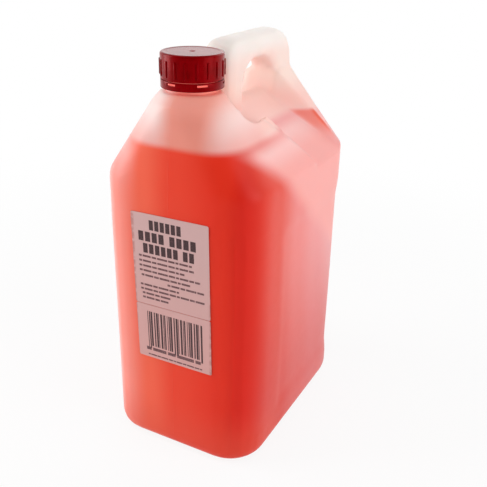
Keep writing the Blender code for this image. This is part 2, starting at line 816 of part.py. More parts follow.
def build_label(name, height, centre_height):
    """Make one part of the label, tilted about the label's split line."""
    half_width = LABEL_WIDTH / 2.0
    half_height = height / 2.0
    corners = [
        (-half_width, -half_height, LABEL_CORNER),
        (half_width, -half_height, LABEL_CORNER),
        (half_width, half_height, LABEL_CORNER),
        (-half_width, half_height, LABEL_CORNER),
    ]
    front = -BODY_DEPTH / 2.0 - FIT_GAP - LABEL_THICKNESS / 2.0
    pivot = Matrix.Translation((LABEL_CENTRE_X, front, LABEL_SPLIT_HEIGHT))
    tilt = Matrix.Rotation(-LABEL_TILT, 4, "Y")
    shift = Matrix.Translation((0.0, 0.0, centre_height))
    upright = Matrix.Rotation(math.radians(90.0), 4, "X")
    place = pivot @ tilt @ shift @ upright
    label = outline_slab(name, corners, LABEL_THICKNESS / 2.0, 0.0, 0.0, place)
    return publish(label, name, LABEL_FILM)


def main():
    """Build every piece."""
    clear_scene()
    build_bottle()
    build_soap()
    build_cap()
    build_tamper_band()
    build_liner()
    build_label(
        "label_upper", LABEL_TOP_HEIGHT, (LABEL_SPLIT + LABEL_TOP_HEIGHT) / 2.0
    )
    build_label(
        "label_lower", LABEL_BOTTOM_HEIGHT, -(LABEL_SPLIT + LABEL_BOTTOM_HEIGHT) / 2.0
    )


main()
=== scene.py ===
"""Dresses the hand soap refill can: moulded skin, neck, cap, tamper band, label and a plain studio.

Everything is in metres in the CAD's frame: +Z up, the label side towards -Y.
"""
import logging
import math
from dataclasses import dataclass, field
from enum import Enum

import bmesh
import bpy
from mathutils import Matrix, Vector

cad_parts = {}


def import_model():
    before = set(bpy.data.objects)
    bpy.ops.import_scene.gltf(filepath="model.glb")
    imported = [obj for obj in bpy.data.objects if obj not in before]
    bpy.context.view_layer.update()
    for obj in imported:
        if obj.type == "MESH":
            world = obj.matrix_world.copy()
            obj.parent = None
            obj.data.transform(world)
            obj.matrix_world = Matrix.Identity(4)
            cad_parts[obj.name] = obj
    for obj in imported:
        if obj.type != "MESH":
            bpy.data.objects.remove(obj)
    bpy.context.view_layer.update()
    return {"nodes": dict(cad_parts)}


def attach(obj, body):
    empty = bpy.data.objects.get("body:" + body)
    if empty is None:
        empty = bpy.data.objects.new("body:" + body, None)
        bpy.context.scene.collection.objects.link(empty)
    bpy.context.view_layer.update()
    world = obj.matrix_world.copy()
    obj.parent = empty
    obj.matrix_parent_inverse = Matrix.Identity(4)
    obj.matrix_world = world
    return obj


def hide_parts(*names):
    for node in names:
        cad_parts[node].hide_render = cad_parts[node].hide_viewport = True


LOG = logging.getLogger("refill_can")

# Measures of the CAD part that more than one class needs.
HALF_WIDTH = 0.0641
HALF_DEPTH = 0.0904
SOAP_LEVEL = 0.2462
NECK_Y = -0.0573
BEAD_TOP = 0.2872
BAND_BOTTOM = 0.2817
CAP_RADIUS = 0.0215
THREAD_DEPTH = 0.0012
THREAD_ROOT = 0.0003
THREAD_PITCH = 0.0042
THREAD_TURNS = 1.5
LABEL_X = 0.0018

ORIGIN = (0.0, 0.0, 0.0)
UP = (0.0, 0.0, 1.0)

Colour = tuple[float, float, float, float]
Place = tuple[float, float, float]
Profile = list[tuple[float, float]]
Stops = tuple[tuple[float, Colour], ...]
Zone = tuple[float, float]
Socket = bpy.types.NodeSocket
Material = bpy.types.Material
Mesh = bmesh.types.BMesh
Verts = list[bmesh.types.BMVert]
Piece = bpy.types.Object


def shade(red: int, green: int, blue: int) -> Colour:
    """Turn a display colour into a linear one.

    Args:
        red: Red as displayed, 0 to 255.
        green: Green as displayed, 0 to 255.
        blue: Blue as displayed, 0 to 255.

    Returns:
        The linear colour with an alpha of 1.
    """
    def linear(value: int) -> float:
        """Turn one displayed channel into a linear one."""
        share = value / 255.0
        if share <= 0.04045:
            return share / 12.92
        return ((share + 0.055) / 1.055) ** 2.4

    return (linear(red), linear(green), linear(blue), 1.0)


class Body(Enum):
    """The bodies that the added pieces ride on."""

    CAN = "can"
    CAP = "cap"


class Slot(Enum):
    """Names of the record's material slots."""

    SKIN = "milky_plastic"
    CAP = "red_cap"
    LABEL = "label_film"


class Board:
    """A node tree and short ways to add and join its nodes."""

    def __init__(self, tree: bpy.types.NodeTree) -> None:
        """Take the tree that nodes are added to."""
        self.nodes = tree.nodes
        self.links = tree.links

    def add(self, kind: str, **settings: object) -> bpy.types.Node:
        """Add a node and set its properties."""
        node = self.nodes.new(kind)
        for name, value in settings.items():
            setattr(node, name, value)
        return node

    def feed(self, socket: Socket, value: object) -> None:
        """Link a socket to another one, or give it a number or colour."""
        if isinstance(value, Socket):
            self.links.new(value, socket)
        else:
            socket.default_value = value

    def sum(self, kind: str, first: object, second: object = 0.0) -> Socket:
        """Work out a Math node's operation on sockets or numbers."""
        node = self.add("ShaderNodeMath", operation=kind)
        self.feed(node.inputs[0], first)
        self.feed(node.inputs[1], second)
        return node.outputs[0]

    def both(self, first: object, second: object) -> Socket:
        """Return the product of two masks."""
        return self.sum("MULTIPLY", first, second)

    def rise(
        self, value: Socket, zone: Zone, ends: Zone = (0.0, 1.0), kind: str = "SMOOTHSTEP"
    ) -> Socket:
        """Return a step, soft unless its kind is LINEAR.

        Args:
            value: The socket that is measured.
            zone: The values where the step starts and ends.
            ends: The results at the start and at the end.
            kind: The node's interpolation.

        Returns:
            The step's socket.
        """
        node = self.add("ShaderNodeMapRange", interpolation_type=kind)
        self.feed(node.inputs["Value"], value)
        node.inputs["From Min"].default_value, node.inputs["From Max"].default_value = zone
        node.inputs["To Min"].default_value, node.inputs["To Max"].default_value = ends
        return node.outputs["Result"]

    def blend(self, share: Socket, first: object, second: object, kind: str = "RGBA") -> Socket:
        """Mix two colours or two numbers.

        Args:
            share: 0 for the first one, 1 for the second.
            first: A colour or a number, or its socket.
            second: A colour or a number, or its socket.
            kind: RGBA for colours, FLOAT for numbers.

        Returns:
            The mixed value's socket.
        """
        node = self.add("ShaderNodeMix", data_type=kind)
        start, end, result = (6, 7, 2) if kind == "RGBA" else (2, 3, 0)
        self.feed(node.inputs["Factor"], share)
        self.feed(node.inputs[start], first)
        self.feed(node.inputs[end], second)
        return node.outputs[result]


class Paint(Board):
    """A new material and short ways to feed its Principled shader."""

    def __init__(self, name: str) -> None:
        """Start a material by its name."""
        self.material = bpy.data.materials.new(name)
        self.material.use_nodes = True
        super().__init__(self.material.node_tree)
        self.shader = self.nodes["Principled BSDF"]

    def put(self, **values: object) -> None:
        """Feed the shader's sockets by their names, with _ for a space."""
        for name, value in values.items():
            label = name.replace("_", " ").title().replace("Ior", "IOR")
            self.feed(self.shader.inputs[label], value)

    def point(self) -> Socket:
        """Return the shaded point in Object coordinates."""
        return self.add("ShaderNodeTexCoord").outputs["Object"]

    def place(self) -> tuple[Socket, ...]:
        """Return the x, y and z of the shaded point."""
        split = self.add("ShaderNodeSeparateXYZ")
        self.feed(split.inputs[0], self.point())
        return tuple(split.outputs)

    def ramp(self, value: Socket, stops: Stops) -> Socket:
        """Return a colour that changes with a value.

        Args:
            value: The socket that is looked up, 0 to 1.
            stops: Places from 0 to 1 with their colours.

        Returns:
            The colour's socket.
        """
        node = self.add("ShaderNodeValToRGB")
        node.color_ramp.interpolation = "EASE"
        marks = node.color_ramp.elements
        while len(marks) < len(stops):
            marks.new(0.5)
        for mark, (place, colour) in zip(marks, stops):
            mark.position = place
            mark.color = colour
        self.feed(node.inputs[0], value)
        return node.outputs[0]

    def scaled(self, colour: object, share: Socket) -> Socket:
        """Return a colour made lighter or darker by a share."""
        node = self.add("ShaderNodeVectorMath", operation="SCALE")
        self.feed(node.inputs[0], colour)
        self.feed(node.inputs["Scale"], share)
        return node.outputs[0]

    def noise(self, scale: float, detail: float = 2.0) -> Socket:
        """Return even noise of a scale in waves a metre."""
        node = self.add("ShaderNodeTexNoise")
        self.feed(node.inputs["Vector"], self.point())
        node.inputs["Scale"].default_value = scale
        node.inputs["Detail"].default_value = detail
        return node.outputs[0]

    def span(self, value: Socket, ends: Zone) -> Socket:
        """Spread a 0 to 1 value between two numbers."""
        return self.rise(value, (0.0, 1.0), ends, "LINEAR")

    def bump(self, height: Socket, strength: float, reach: float) -> None:
        """Raise the surface by a height's socket.

        Args:
            height: The height, in shares of reach.
            strength: How much of the effect is used, 0 to 1.
            reach: The height in metres of a share of 1.
        """
        node = self.add("ShaderNodeBump")
        node.inputs["Strength"].default_value = strength
        node.inputs["Distance"].default_value = reach
        self.feed(node.inputs["Height"], height)
        self.put(normal=node.outputs[0])


@dataclass(frozen=True)
class SkinZones:
    """Where each mask on the can's wall is 0 and where it is 1, in metres."""

    # Heights.
    level: Zone = (SOAP_LEVEL + 0.0030, SOAP_LEVEL - 0.0030)
    painted_sheen_tint: Zone = (0.224, 0.240)
    painted_sheen_top: Zone = (SOAP_LEVEL + 0.004, SOAP_LEVEL - 0.010)
    painted_left_sheen_height: Zone = (0.204, 0.242)
    crescent_foot: Zone = (0.223, 0.238)
    crescent_top: Zone = (SOAP_LEVEL + 0.003, SOAP_LEVEL - 0.001)
    collar: Zone = (0.262, 0.276)
    neck: Zone = (0.242, 0.272)
    side_shift: Zone = (0.150, 0.030)
    side_foot: Zone = (0.190, 0.030)
    foot: Zone = (0.055, 0.004)
    glow_foot: Zone = (BAND_BOTTOM - 0.0032, BAND_BOTTOM + 0.0018)
    glow_top: Zone = (BEAD_TOP + 0.0004, BEAD_TOP)
    # Across the can.
    right_half: Zone = (-0.020, 0.020)
    painted_left_sheen_across: Zone = (-0.022, -0.046)
    flank: Zone = (0.022, 0.036)
    neck_flank: Zone = (0.008, 0.025)
    seam: Zone = (0.0005, 0.0)
    # Along the can.
    front_corner: Zone = (-0.084, -0.064)
    foot_front: Zone = (-0.02, -0.06)
    behind_neck: Zone = (-0.046, -0.026)
    glow_rear: Zone = (-0.0335, -0.0345)
    painted_sheen_rear: Zone = (HALF_DEPTH - 0.012, HALF_DEPTH - 0.030)
    rear_corner: Zone = (0.064, 0.088)
    # Across slanting lines.
    painted_sheen_slant: Zone = (0.1776, 0.2000)
    crescent_in: Zone = (-0.0015, 0.0010)
    crescent_out: Zone = (0.0056, 0.0018)


@dataclass(frozen=True)
class MilkyPlastic:
    """Natural polyethylene, cream where empty and red up to the soap's level.

    The colours are those of the wall with what lies behind it, so the level shows as a soft line;
    painted light lies on them too: painted sheen and reflections on the corners and flanks, painted
    shade under the cap and at the right front corner, and a painted glow at the foot and under the
    tamper band.
    """

    zones: SkinZones = SkinZones()
    shoulder: float = 0.2192
    handle_top: float = 0.3083
    empty_stops: Stops = (
        (0.18, shade(255, 214, 209)),
        (0.40, shade(255, 204, 194)),
        (0.62, shade(255, 224, 213)),
        (0.76, shade(251, 225, 216)),
        (0.95, shade(249, 238, 232)),
    )
    neck_pale: Colour = shade(255, 226, 221)
    shoulder_pale: Colour = shade(248, 178, 170)
    # Painted shade under the cap, reddened by the cap, in a band before the neck; the pale colours
    # are the flanks beside it.
    neck_painted_shade: Colour = shade(244, 152, 135)
    collar_painted_shade: Colour = shade(250, 162, 146)
    painted_shade_x: float = 0.011
    # Across the front below the level: a painted pale reflection at the left corner, then the soap's
    # red, deepening into painted shade at the right corner.
    front_painted_light_stops: Stops = (
        (0.02, shade(240, 200, 196)),
        (0.14, shade(255, 146, 132)),
        (0.33, shade(255, 104, 76)),
        (0.52, shade(244, 68, 42)),
        (0.82, shade(238, 48, 22)),
        (0.92, shade(222, 30, 8)),
    )
    # Along the right side below the level: the soap's red at the front corner, paling rearwards into
    # a painted reflection of a lamp.
    side_painted_reflection_stops: Stops = (
        (0.05, shade(222, 46, 24)),
        (0.23, shade(230, 84, 70)),
        (0.43, shade(241, 138, 133)),
        (0.65, shade(244, 161, 160)),
        (0.85, shade(246, 181, 181)),
    )
    # How far the painted reflection on the right side is pushed rearwards near the foot.
    side_shift: float = 0.07
    # The left side below the level, paled by a painted reflection of a lamp.
    left_painted_reflection: Colour = shade(238, 116, 102)
    rear_side: Colour = shade(236, 98, 80)
    # The right side darker towards the bottom, where the painted reflection fades out.
    side_foot: Colour = shade(210, 56, 48)
    side_foot_share: float = 0.62
    # A painted glow low on the front, as if light came through the soap.
    foot: Colour = shade(230, 84, 62)
    painted_foot_glow_share: float = 0.5
    # Painted sheen over the red on the upper flanks and in the scoops.
    flank_painted_sheen: Colour = shade(252, 172, 166)
    scoop_painted_sheen: Colour = shade(255, 200, 196)
    painted_sheen_slope: float = 0.82
    painted_sheen_left_share: float = 0.5
    # How strong the painted sheen high on the left side is.
    painted_left_sheen_share: float = 0.7
    crescent: Colour = shade(240, 106, 82)
    crescent_slopes: Zone = (0.80, 0.30)
    crescent_start: float = 0.047
    # A painted glow on the neck under the tamper band, as if light came up the milky wall.
    painted_neck_glow: Colour = shade(255, 118, 108)
    painted_glow_strength: float = 0.75
    clouds: Zone = (0.975, 1.02)
    roughness: Zone = (0.36, 0.46)

    def build(self) -> Material:
        """Return the material."""
        board = Paint("milky_plastic")
        zones = self.zones
        x, y, z = board.place()
        wide = board.sum("ABSOLUTE", x)
        full = board.rise(z, zones.level)
        base = board.blend(full, self.empty_wall(board, x, y, z), self.soap_wall(board, x, y, z))
        # Painted sheen over the red on the upper flanks and the scoops, half as strong on the left
        # side.
        painted_sheen = board.blend(board.rise(z, zones.painted_sheen_tint), self.flank_painted_sheen, self.scoop_painted_sheen)
        near = board.span(board.rise(x, zones.right_half), (self.painted_sheen_left_share, 1.0))
        base = board.blend(board.both(self.painted_sheen_share(board, wide, y, z), near), base, painted_sheen)
        # A painted sheen high on the left side, below the level.
        painted_left_sheen = board.both(board.rise(x, zones.painted_left_sheen_across), board.rise(z, zones.painted_left_sheen_height))
        base = board.blend(board.both(board.both(painted_left_sheen, full), self.painted_left_sheen_share), base, painted_sheen)
        base = board.blend(self.crescent_share(board, wide, y, z), base, self.crescent)
        # Painted glow on the neck between the band and the bead.
        painted_glow_share = board.both(board.rise(z, zones.glow_foot), board.rise(z, zones.glow_top))
        painted_glow_share = board.both(painted_glow_share, board.rise(y, zones.glow_rear))
        board.put(
            base_color=board.scaled(base, board.span(board.noise(26.0), self.clouds)),
            roughness=board.span(board.noise(140.0), self.roughness),
            subsurface_weight=0.20,
            subsurface_scale=0.005,
            subsurface_radius=(1.0, 0.4, 0.32),
            ior=1.5,
            specular_ior_level=0.2,
            emission_color=self.painted_neck_glow,
            emission_strength=board.both(painted_glow_share, self.painted_glow_strength),
        )
        self.surface(board, wide)
        return board.material

    def painted_sheen_share(self, board: Paint, wide: Socket, y: Socket, z: Socket) -> Socket:
        """Return 1 where a painted sheen lies on the upper flanks and the scoops, above a slanting
        line.
        """
        zones = self.zones
        slant = board.sum("ADD", z, board.both(y, self.painted_sheen_slope))
        behind = board.rise(slant, zones.painted_sheen_slant)
        flank = board.rise(wide, zones.flank)
        soaked = board.rise(z, zones.painted_sheen_top)
        ahead = board.rise(y, zones.painted_sheen_rear)
        return board.both(board.both(behind, flank), board.both(soaked, ahead))

    def crescent_share(self, board: Paint, wide: Socket, y: Socket, z: Socket) -> Socket:
        """Return 1 along the scoops' rear edge, where the soap shows deep red below its level."""
        zones = self.zones
        outward, upward = self.crescent_slopes
        edge = board.sum("ADD", board.both(wide, outward), board.both(z, upward))
        past = board.sum("SUBTRACT", y, board.sum("SUBTRACT", edge, self.crescent_start))
        strip = board.both(board.rise(past, zones.crescent_in), board.rise(past, zones.crescent_out))
        height = board.both(board.rise(z, zones.crescent_foot), board.rise(z, zones.crescent_top))
        return board.both(strip, height)

    def empty_wall(self, board: Paint, x: Socket, y: Socket, z: Socket) -> Socket:
        """Return the colour above the soap: a band of painted shade under the cap before the neck,
        cream at the handle.
        """
        zones = self.zones
        low = self.shoulder
        height = board.sum("DIVIDE", board.sum("SUBTRACT", z, low), self.handle_top - low)
        rear = board.ramp(height, self.empty_stops)
        middle = board.sum("ABSOLUTE", board.sum("SUBTRACT", x, self.painted_shade_x))
        # Painted shade under the cap, in a band before the neck.
        deep = board.blend(board.rise(z, zones.collar), self.neck_painted_shade, self.collar_painted_shade)
        pale = board.blend(board.rise(z, zones.neck), self.shoulder_pale, self.neck_pale)
        front = board.blend(board.rise(middle, zones.neck_flank), deep, pale)
        return board.blend(board.rise(y, zones.behind_neck), front, rear)

    def soap_wall(self, board: Paint, x: Socket, y: Socket, z: Socket) -> Socket:
        """Return the colour below the level, with painted light: pale painted reflections at the
        left corner and on the right side, painted shade at the right front corner and a painted glow
        at the front foot.
        """
        zones = self.zones
        across = board.sum("DIVIDE", board.sum("ADD", x, HALF_WIDTH), 2.0 * HALF_WIDTH)
        along = board.sum("DIVIDE", board.sum("ADD", y, HALF_DEPTH), 2.0 * HALF_DEPTH)
        shift = board.both(board.rise(z, zones.side_shift), self.side_shift)
        right = board.ramp(board.sum("SUBTRACT", along, shift), self.side_painted_reflection_stops)
        footed = board.both(board.rise(z, zones.side_foot), self.side_foot_share)
        right = board.blend(footed, right, self.side_foot)
        side = board.blend(board.rise(x, zones.right_half), self.left_painted_reflection, right)
        front = board.ramp(across, self.front_painted_light_stops)
        wall = board.blend(board.rise(y, zones.front_corner), front, side)
        wall = board.blend(board.rise(y, zones.rear_corner), wall, self.rear_side)
        # Painted glow at the front foot.
        ahead = board.both(board.rise(y, zones.foot_front), self.painted_foot_glow_share)
        return board.blend(board.both(board.rise(z, zones.foot), ahead), wall, self.foot)

    def surface(self, board: Paint, wide: Socket) -> None:
        """Add the mould's fine grain, slow waves in the wall and the parting line."""
        seam = board.rise(wide, self.zones.seam)
        grain = board.both(board.noise(2600.0), 0.10)
        waves = board.both(board.noise(38.0, 1.0), 1.4)
        height = board.sum("ADD", board.sum("ADD", grain, waves), seam)
        board.bump(height, 0.35, 0.0003)


@dataclass(frozen=True)
class RedSoap:
    """The clear red filling."""

    deep: Colour = shade(206, 26, 14)
    bright: Colour = shade(244, 74, 52)
    roughness: Zone = (0.04, 0.09)

    def build(self) -> Material:
        """Return the material."""
        board = Paint("red_soap")
        board.put(
            base_color=board.blend(board.noise(12.0), self.deep, self.bright),
            roughness=board.span(board.noise(40.0), self.roughness),
            subsurface_weight=0.4,
            subsurface_scale=0.02,
            ior=1.36,
        )
        return board.material


@dataclass(frozen=True)
class RedMoulding:
    """Gloss deep red injection moulded plastic of the cap and the band."""

    deep: Colour = shade(122, 0, 3)
    light: Colour = shade(136, 0, 6)
    flow: Zone = (0.35, 0.65)
    roughness: Zone = (0.17, 0.25)
    gleam: Colour = (1.0, 0.05, 0.06, 1.0)

    def build(self) -> Material:
        """Return the material."""
        board = Paint("red_cap")
        flow = board.rise(board.noise(120.0), self.flow)
        board.put(
            base_color=board.blend(flow, self.deep, self.light),
            roughness=board.span(board.noise(420.0), self.roughness),
            subsurface_weight=0.08,
            subsurface_scale=0.002,
            ior=1.5,
            specular_ior_level=0.30,
            specular_tint=self.gleam,
        )
        height = board.sum("ADD", board.both(board.noise(2200.0), 0.15), board.noise(60.0, 1.0))
        board.bump(height, 0.12, 0.00008)
        return board.material


@dataclass(frozen=True)
class FoamDisc:
    """Pale foamed sealing disc."""

    pale: Colour = shade(238, 236, 230)
    pore: Colour = shade(214, 210, 202)
    cells_a_metre: float = 2400.0

    def build(self) -> Material:
        """Return the material."""
        board = Paint("pale_liner")
        cells = board.add("ShaderNodeTexVoronoi")
        board.feed(cells.inputs["Vector"], board.point())
        cells.inputs["Scale"].default_value = self.cells_a_metre
        board.put(base_color=board.blend(cells.outputs[0], self.pore, self.pale), roughness=0.8)
        board.bump(cells.outputs[0], 0.5, 0.0002)
        return board.material


@dataclass(frozen=True)
class LabelFilm:
    """Thin self-adhesive film that the red behind it tints to a greyish pink."""

    top: Colour = shade(214, 173, 170)
    bottom: Colour = shade(218, 165, 160)
    edge: Colour = shade(196, 134, 128)
    fade: Zone = (0.190, 0.090)
    half_width: float = 0.0318
    worn_width: float = 0.0016
    worn_patches: Zone = (0.3, 0.6)
    roughness: Zone = (0.34, 0.46)

    def build(self) -> Material:
        """Return the material."""
        board = Paint("label_film")
        x, _, z = board.place()
        film = board.blend(board.rise(z, self.fade), self.top, self.bottom)
        off_centre = board.sum("ABSOLUTE", board.sum("SUBTRACT", x, LABEL_X))
        worn = board.rise(off_centre, (self.half_width - self.worn_width, self.half_width))
        mottled = board.both(worn, board.rise(board.noise(300.0, 3.0), self.worn_patches))
        board.put(
            base_color=board.blend(mottled, film, self.edge),
            roughness=board.span(board.noise(200.0), self.roughness),
            ior=1.5,
        )
        height = board.sum("ADD", board.both(board.noise(4000.0), 0.3), board.noise(70.0, 2.0))
        board.bump(height, 0.35, 0.0001)
        return board.material


@dataclass(frozen=True)
class Ink:
    """Matt print on the label, uneven where it is thin."""

    name: str
    dense: Colour
    thin: Colour
    patches: Zone = (0.45, 0.75)

    def build(self) -> Material:
        """Return the material."""
        board = Paint(self.name)
        patch = board.rise(board.noise(900.0, 3.0), self.patches)
        board.put(base_color=board.blend(patch, self.dense, self.thin), roughness=0.55)
        return board.material


@dataclass(frozen=True)
class Backdrop:
    """White floor that the camera and reflections see as white, with a faint shadow."""

    paper: Place = (0.93, 0.93, 0.93)
    grain: Zone = (0.985, 1.0)
    seen_white: float = 0.88
    shadow_reach: Zone = (0.30, 0.75)

    def build(self) -> Material:
        """Return the material."""
        board = Paint("white_paper")
        board.put(
            base_color=board.scaled(self.paper, board.span(board.noise(18.0), self.grain)),
            roughness=0.9,
            specular_ior_level=0.1,
        )
        path = board.add("ShaderNodeLightPath")
        seen = board.sum("MAXIMUM", path.outputs["Is Camera Ray"], path.outputs["Is Glossy Ray"])
        seen = board.sum("MAXIMUM", seen, path.outputs["Is Transmission Ray"])
        mix = board.add("ShaderNodeMixShader")
        x, y, _ = board.place()
        away = board.sum("SQRT", board.sum("ADD", board.both(x, x), board.both(y, y)))
        plain = board.rise(away, self.shadow_reach)
        share = board.sum("ADD", board.both(plain, 1.0 - self.seen_white), self.seen_white)
        board.feed(mix.inputs[0], board.both(seen, share))
        board.feed(mix.inputs[1], board.shader.outputs[0])
        board.feed(mix.inputs[2], board.add("ShaderNodeEmission").outputs[0])
        board.feed(board.nodes["Material Output"].inputs["Surface"], mix.outputs[0])
        return board.material


def mesh_piece(name: str, bm: Mesh, finish: Material, sharp: float = 35.0) -> Piece:
    """Make an object from a bmesh, welded, facing outwards and smoothly shaded.

    Args:
        name: The piece's name.
        bm: The mesh, which is freed.
        finish: The piece's material.
        sharp: The angle in degrees from which an edge stays sharp.

    Returns:
        The new object, at the origin.
    """
    bmesh.ops.remove_doubles(bm, verts=bm.verts, dist=0.000002)
    bmesh.ops.recalc_face_normals(bm, faces=bm.faces)
    mesh = bpy.data.meshes.new(name)
    bm.to_mesh(mesh)
    bm.free()
    mesh.materials.append(finish)
    mesh.shade_smooth()
    mesh.set_sharp_from_angle(angle=math.radians(sharp))
    piece = bpy.data.objects.new(name, mesh)
    bpy.context.scene.collection.objects.link(piece)
    return piece


def discard(piece: Piece) -> None:
    """Remove a piece and its mesh."""
    mesh = piece.data
    bpy.data.objects.remove(piece)
    bpy.data.meshes.remove(mesh)


def evaluated(piece: Piece) -> Mesh:
    """Return a piece's mesh with its modifiers, and remove the piece."""
    bpy.context.view_layer.update()
    graph = bpy.context.evaluated_depsgraph_get()
    mesh = bpy.data.meshes.new_from_object(piece.evaluated_get(graph))
    bm = bmesh.new()
    bm.from_mesh(mesh)
    discard(piece)
    bpy.data.meshes.remove(mesh)
    return bm


def spun(bm: Mesh, profile: Profile, steps: int, closed: bool = True) -> None:
    """Turn a profile of (radius, height) points about the Z axis into a bmesh.

    Args:
        bm: The mesh that the turned shape is added to.
        profile: The points in order.
        steps: The number of faces round the axis.
        closed: Whether the last point joins the first.
    """
    verts = [bm.verts.new((radius, 0.0, height)) for radius, height in profile]
    pairs = zip(verts, verts[1:] + verts[:1] if closed else verts[1:])
    edges = [bm.edges.new(pair) for pair in pairs]
    bmesh.ops.spin(
        bm, geom=verts + edges, cent=ORIGIN, axis=UP, angle=math.tau, steps=steps, use_merge=True
    )


def rounded(profile: Profile, radius: float) -> Profile:
    """Round every corner of a closed profile.

    Args:
        profile: The points in order.
        radius: The corner radius, cut down where a side is short.

    Returns:
        The rounded points.
    """
    points: Profile = []
    segments = 3
    for index, spot in enumerate(profile):
        here = Vector(spot)
        before = Vector(profile[index - 1]) - here
        after = Vector(profile[(index + 1) % len(profile)]) - here
        reach = min(radius, before.length * 0.45, after.length * 0.45)
        start = here + before.normalized() * reach
        end = here + after.normalized() * reach
        for step in range(segments + 1):
            share = step / segments
            first = start.lerp(here, share)
            second = here.lerp(end, share)
            points.append(tuple(first.lerp(second, share)))
    return points


def cube(bm: Mesh, low: Vector, high: Vector, radius: float = 0.0) -> Verts:
    """Add a box between two corners, its edges rounded by a radius.

    Args:
        bm: The mesh that the box is added to.
        low: The lowest corner.
        high: The highest corner.
        radius: The edge radius, or 0 for sharp edges.

    Returns:
        The box's vertices.
    """
    place = Matrix.Translation((low + high) / 2.0) @ Matrix.Diagonal((*(high - low), 1.0))
    made = bmesh.ops.create_cube(bm, size=1.0, matrix=place)["verts"]
    if radius <= 0.0:
        return made
    edges = list({edge for vert in made for edge in vert.link_edges})
    result = bmesh.ops.bevel(
        bm, geom=edges, offset=radius, offset_type="OFFSET", segments=2, profile=0.5,
        affect="EDGES", clamp_overlap=True, material=-1,
    )
    kept = {vert for vert in made if vert.is_valid}
    return list(kept | set(result["verts"]))


def turn(bm: Mesh, verts: Verts, angle: float) -> None:
    """Turn vertices about the Z axis by an angle in degrees."""
    matrix = Matrix.Rotation(math.radians(angle), 3, "Z")
    bmesh.ops.rotate(bm, verts=verts, cent=ORIGIN, matrix=matrix)


def thread_ridge(bm: Mesh, root: float, crest: float, start: float) -> None:
    """Add one helical thread ridge about the Z axis, closed at both ends.

    Args:
        bm: The mesh that the ridge is added to.
        root: The ridge's radius at its root, buried in the wall.
        crest: Its radius at the crest.
        start: The height of its lower end.
    """
    section = [(root, -0.0010), (crest, -0.0005), (crest, 0.0005), (root, 0.0010)]
    verts = [bm.verts.new((radius, 0.0, start + height)) for radius, height in section]
    face = bm.faces.new(verts)
    per_turn = 96
    bmesh.ops.spin(
        bm,
        geom=verts + face.edges[:] + [face],
        cent=ORIGIN,
        axis=UP,
        dvec=(0.0, 0.0, THREAD_PITCH / per_turn),
        angle=math.tau * THREAD_TURNS,
        steps=round(per_turn * THREAD_TURNS),
    )


